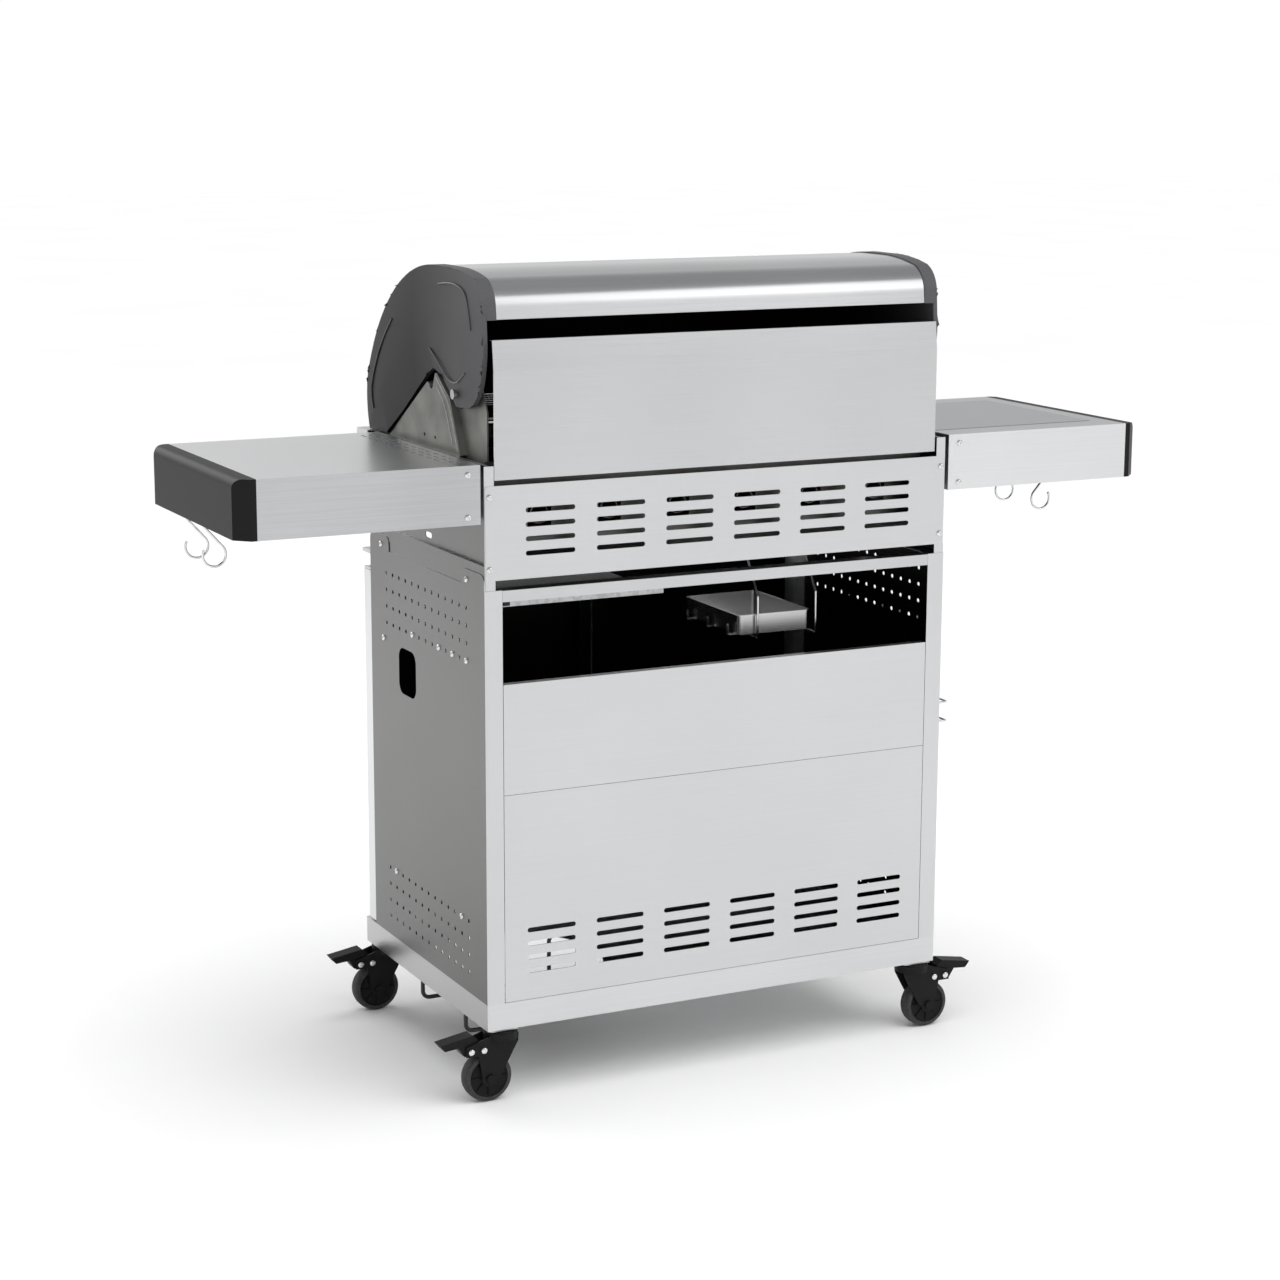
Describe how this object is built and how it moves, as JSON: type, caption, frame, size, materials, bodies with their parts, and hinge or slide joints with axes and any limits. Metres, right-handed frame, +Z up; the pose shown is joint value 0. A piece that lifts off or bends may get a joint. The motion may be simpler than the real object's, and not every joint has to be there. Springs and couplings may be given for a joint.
{
  "type": "gas barbecue grill",
  "caption": "Stainless steel gas barbecue grill with a hinged lid, side shelves, a side burner, a cabinet with doors and swivel castors.",
  "frame": {"origin": "centre of the whole outline, on the floor", "axes": "+X to the operator's right, along the longest side; the operator stands on the -Y side; +Z up"},
  "size_m": [1.556, 0.5806, 1.266],
  "materials": {
    "stainless": "brushed",
    "zinc_steel": "satin",
    "enamelled_steel": "satin",
    "burner_steel": "satin",
    "cast_iron": "matte",
    "chrome_wire": "polished",
    "black_plastic": "satin",
    "wheel_rubber": "matte",
    "knob_metal": "satin"
  },
  "bodies": {
    "root": {"base_tray": "stainless", "side_panel_right": "stainless", "side_panel_left": "stainless", "rear_panel_lower": "stainless", "rear_panel_upper": "stainless", "head_sides": "stainless", "head_rear_panel": "stainless", "rear_heat_deflector": "stainless", "control_panel": "stainless", "shelf_right": "stainless", "shelf_left": "stainless", "cabinet_frame": "zinc_steel", "heat_shield": "zinc_steel", "door_hinge_pins": "zinc_steel", "screws": "zinc_steel", "gas_manifold": "zinc_steel", "lid_hinge_bolts": "zinc_steel", "castor_plates": "zinc_steel", "firebox_ends": "enamelled_steel", "firebox_body": "enamelled_steel", "side_burner": "enamelled_steel", "bottle_cradle": "enamelled_steel", "burners": "burner_steel", "flame_tamers": "burner_steel", "cooking_grates": "cast_iron", "wire_holder": "chrome_wire", "drip_pan_hanger": "chrome_wire", "warming_rack": "chrome_wire", "shelf_end_caps": "black_plastic"},
    "lid": {"lid_skin": "stainless", "lid_end_caps": "enamelled_steel", "lid_handle": "chrome_wire", "lid_thermometer": "chrome_wire"},
    "door_right": {"door_right": "stainless", "door_handle_right": "chrome_wire"},
    "door_left": {"door_left": "stainless", "door_handle_left": "chrome_wire"},
    "side_burner_lid": {"side_burner_lid": "stainless"},
    "drip_pan": {"drip_pan": "stainless"},
    "s_hooks_right": {"s_hooks_right": "chrome_wire"},
    "s_hooks_left": {"s_hooks_left": "chrome_wire"},
    "castor_1": {"castor_fork_1": "black_plastic"},
    "wheel_1": {"castor_wheel_1": "wheel_rubber"},
    "pedal_1": {"castor_pedal_1": "black_plastic"},
    "castor_2": {"castor_fork_2": "black_plastic"},
    "wheel_2": {"castor_wheel_2": "wheel_rubber"},
    "pedal_2": {"castor_pedal_2": "black_plastic"},
    "castor_3": {"castor_fork_3": "black_plastic"},
    "wheel_3": {"castor_wheel_3": "wheel_rubber"},
    "pedal_3": {"castor_pedal_3": "black_plastic"},
    "castor_4": {"castor_fork_4": "black_plastic"},
    "wheel_4": {"castor_wheel_4": "wheel_rubber"},
    "pedal_4": {"castor_pedal_4": "black_plastic"},
    "knob_1": {"knob_1": "knob_metal"},
    "knob_2": {"knob_2": "knob_metal"},
    "knob_3": {"knob_3": "knob_metal"},
    "knob_4": {"knob_4": "knob_metal"},
    "knob_5": {"knob_5": "knob_metal"},
    "knob_6": {"knob_6": "knob_metal"},
    "side_burner_knob": {"side_burner_knob": "knob_metal"}
  },
  "joints": [
    {"name": "lid_hinge", "type": "hinge", "parent": "root", "child": "lid", "pos_m": [0, 0.16702, 1.0794], "axis": [-1, 0, 0], "range_deg": [0, 80]},
    {"name": "door_right_hinge", "type": "hinge", "parent": "root", "child": "door_right", "pos_m": [0.391, -0.20118, 0.4575], "axis": [0, 0, 1], "range_deg": [0, 110]},
    {"name": "door_left_hinge", "type": "hinge", "parent": "root", "child": "door_left", "pos_m": [-0.391, -0.20118, 0.4575], "axis": [0, 0, 1], "range_deg": [-110, 0]},
    {"name": "side_burner_lid_hinge", "type": "hinge", "parent": "root", "child": "side_burner_lid", "pos_m": [-0.565, 0.22372, 0.9805], "axis": [-1, 0, 0], "range_deg": [0, 90]},
    {"name": "drip_pan_lift", "type": "slide", "parent": "root", "child": "drip_pan", "axis": [0, 0, 1], "range_m": [0, 0.02]},
    {"name": "castor_swivel_1", "type": "hinge", "parent": "root", "child": "castor_1", "pos_m": [0.371, 0.26582, 0.112], "axis": [0, 0, 1], "continuous": true},
    {"name": "castor_axle_1", "type": "hinge", "parent": "castor_1", "child": "wheel_1", "pos_m": [0.395, 0.26582, 0.039], "axis": [0, 1, 0], "continuous": true},
    {"name": "castor_pedal_1", "type": "hinge", "parent": "castor_1", "child": "pedal_1", "pos_m": [0.426, 0.26582, 0.086], "axis": [0, 1, 0], "range_deg": [0, 12]},
    {"name": "castor_swivel_2", "type": "hinge", "parent": "root", "child": "castor_2", "pos_m": [0.371, -0.20618, 0.112], "axis": [0, 0, 1], "continuous": true},
    {"name": "castor_axle_2", "type": "hinge", "parent": "castor_2", "child": "wheel_2", "pos_m": [0.395, -0.20618, 0.039], "axis": [0, 1, 0], "continuous": true},
    {"name": "castor_pedal_2", "type": "hinge", "parent": "castor_2", "child": "pedal_2", "pos_m": [0.426, -0.20618, 0.086], "axis": [0, 1, 0], "range_deg": [0, 12]},
    {"name": "castor_swivel_3", "type": "hinge", "parent": "root", "child": "castor_3", "pos_m": [-0.371, 0.26582, 0.112], "axis": [0, 0, 1], "continuous": true},
    {"name": "castor_axle_3", "type": "hinge", "parent": "castor_3", "child": "wheel_3", "pos_m": [-0.395, 0.26582, 0.039], "axis": [0, 1, 0], "continuous": true},
    {"name": "castor_pedal_3", "type": "hinge", "parent": "castor_3", "child": "pedal_3", "pos_m": [-0.426, 0.26582, 0.086], "axis": [0, -1, 0], "range_deg": [0, 12]},
    {"name": "castor_swivel_4", "type": "hinge", "parent": "root", "child": "castor_4", "pos_m": [-0.371, -0.20618, 0.112], "axis": [0, 0, 1], "continuous": true},
    {"name": "castor_axle_4", "type": "hinge", "parent": "castor_4", "child": "wheel_4", "pos_m": [-0.395, -0.20618, 0.039], "axis": [0, 1, 0], "continuous": true},
    {"name": "castor_pedal_4", "type": "hinge", "parent": "castor_4", "child": "pedal_4", "pos_m": [-0.426, -0.20618, 0.086], "axis": [0, -1, 0], "range_deg": [0, 12]},
    {"name": "knob_1_turn", "type": "hinge", "parent": "root", "child": "knob_1", "pos_m": [-0.292, -0.24892, 0.905], "axis": [0, -0.9686, 0.2487], "range_deg": [0, 180]},
    {"name": "knob_2_turn", "type": "hinge", "parent": "root", "child": "knob_2", "pos_m": [-0.1752, -0.24892, 0.905], "axis": [0, -0.9686, 0.2487], "range_deg": [0, 180]},
    {"name": "knob_3_turn", "type": "hinge", "parent": "root", "child": "knob_3", "pos_m": [-0.0584, -0.24892, 0.905], "axis": [0, -0.9686, 0.2487], "range_deg": [0, 180]},
    {"name": "knob_4_turn", "type": "hinge", "parent": "root", "child": "knob_4", "pos_m": [0.0584, -0.24892, 0.905], "axis": [0, -0.9686, 0.2487], "range_deg": [0, 180]},
    {"name": "knob_5_turn", "type": "hinge", "parent": "root", "child": "knob_5", "pos_m": [0.1752, -0.24892, 0.905], "axis": [0, -0.9686, 0.2487], "range_deg": [0, 180]},
    {"name": "knob_6_turn", "type": "hinge", "parent": "root", "child": "knob_6", "pos_m": [0.292, -0.24892, 0.905], "axis": [0, -0.9686, 0.2487], "range_deg": [0, 180]},
    {"name": "side_burner_knob_turn", "type": "hinge", "parent": "root", "child": "side_burner_knob", "pos_m": [-0.5765, -0.13118, 0.94425], "axis": [0, -1, 0], "range_deg": [0, 180]},
    {"name": "s_hooks_right_swing", "type": "hinge", "parent": "root", "child": "s_hooks_right", "pos_m": [0.727, -0.02518, 0.9042], "axis": [0, 1, 0], "range_deg": [-12, 12]},
    {"name": "s_hooks_left_swing", "type": "hinge", "parent": "root", "child": "s_hooks_left", "pos_m": [-0.727, 0.02282, 0.9042], "axis": [0, 1, 0], "range_deg": [-12, 12]}
  ]
}
